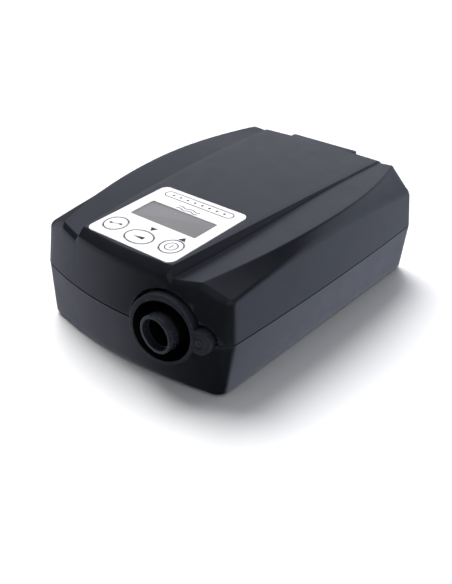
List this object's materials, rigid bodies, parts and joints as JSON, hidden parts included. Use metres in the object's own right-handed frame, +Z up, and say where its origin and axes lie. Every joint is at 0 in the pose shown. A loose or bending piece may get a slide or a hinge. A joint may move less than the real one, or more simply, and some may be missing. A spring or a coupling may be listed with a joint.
{
  "type": "positive-pressure ventilator",
  "caption": "Desktop blower ventilator: low two-part moulded case with a raised flared crown, a keypad with display, a round hose outlet at the front and a filter door at the back.",
  "frame": {"origin": "middle of the bounding box at the plane the feet stand on", "axes": "+Z up, -Y out of the front with the hose outlet, +X to the right seen from the front"},
  "size_m": [0.1462, 0.2038, 0.0715],
  "materials": {
    "case_plastic": "satin moulded, blue-black",
    "keypad_film": "satin white polyester film",
    "lcd_glass": "grey reflective display, off",
    "circuit_board": "green solder resist",
    "component_plastic": "black moulded",
    "clear_silicone": "translucent silicone",
    "black_rubber": "soft black rubber",
    "blower_plastic": "light grey moulded",
    "plain_steel": "zinc plated",
    "dark_magnet": "coated sintered magnet",
    "copper_winding": "enamelled copper wire",
    "acoustic_foam": "open-cell grey foam",
    "filter_wool": "white filter wool"
  },
  "bodies": {
    "case": {"blower_base": "blower_plastic", "blower_cover": "blower_plastic", "blower_mount_1": "black_rubber", "blower_mount_2": "black_rubber", "blower_mount_3": "black_rubber", "board_screw_back_left": "plain_steel", "board_screw_back_right": "plain_steel", "board_screw_front_left": "plain_steel", "board_screw_front_right": "plain_steel", "buzzer": "component_plastic", "case_screw_back_left": "plain_steel", "case_screw_back_right": "plain_steel", "case_screw_front_left": "plain_steel", "case_screw_front_right": "plain_steel", "data_port": "component_plastic", "display_board": "circuit_board", "flange_rivet": "case_plastic", "foot_back_left": "black_rubber", "foot_back_right": "black_rubber", "foot_front_left": "black_rubber", "foot_front_right": "black_rubber", "key_switch_mode": "component_plastic", "key_switch_power": "component_plastic", "key_switch_ramp": "component_plastic", "keypad_overlay": "keypad_film", "lcd_module": "component_plastic", "lcd_screen": "lcd_glass", "lower_case": "case_plastic", "motor_bearing_lower": "plain_steel", "motor_bearing_upper": "plain_steel", "motor_plate": "blower_plastic", "motor_stator": "copper_winding", "outlet_coupling": "clear_silicone", "outlet_flange": "case_plastic", "outlet_tube": "case_plastic", "power_board": "circuit_board", "power_capacitor": "component_plastic", "power_inlet": "component_plastic", "silencer_foam": "acoustic_foam", "upper_case": "case_plastic"},
    "key_ramp": {"key_ramp": "keypad_film"},
    "key_mode": {"key_mode": "keypad_film"},
    "key_power": {"key_power": "keypad_film"},
    "rotor": {"impeller": "blower_plastic", "rotor_shaft": "plain_steel", "rotor_magnet": "dark_magnet"},
    "filter_door": {"filter_door": "case_plastic", "air_filter": "filter_wool"}
  },
  "joints": [
    {"name": "key_ramp_press", "type": "slide", "parent": "case", "child": "key_ramp", "axis": [0, 0.0462, -0.9989], "range_m": [0, 0.0006], "stiffness_N_per_m": 600, "springref_m": -0.0006},
    {"name": "key_mode_press", "type": "slide", "parent": "case", "child": "key_mode", "axis": [0, 0.0462, -0.9989], "range_m": [0, 0.0006], "stiffness_N_per_m": 600, "springref_m": -0.0006},
    {"name": "key_power_press", "type": "slide", "parent": "case", "child": "key_power", "axis": [0, 0.0462, -0.9989], "range_m": [0, 0.0006], "stiffness_N_per_m": 600, "springref_m": -0.0006},
    {"name": "rotor_spin", "type": "hinge", "parent": "case", "child": "rotor", "pos_m": [0.0036, 0.015, 0.0315], "axis": [0, 0, 1], "continuous": true},
    {"name": "filter_door_pull", "type": "slide", "parent": "case", "child": "filter_door", "axis": [0, 1, 0], "range_m": [0, 0.03]}
  ]
}
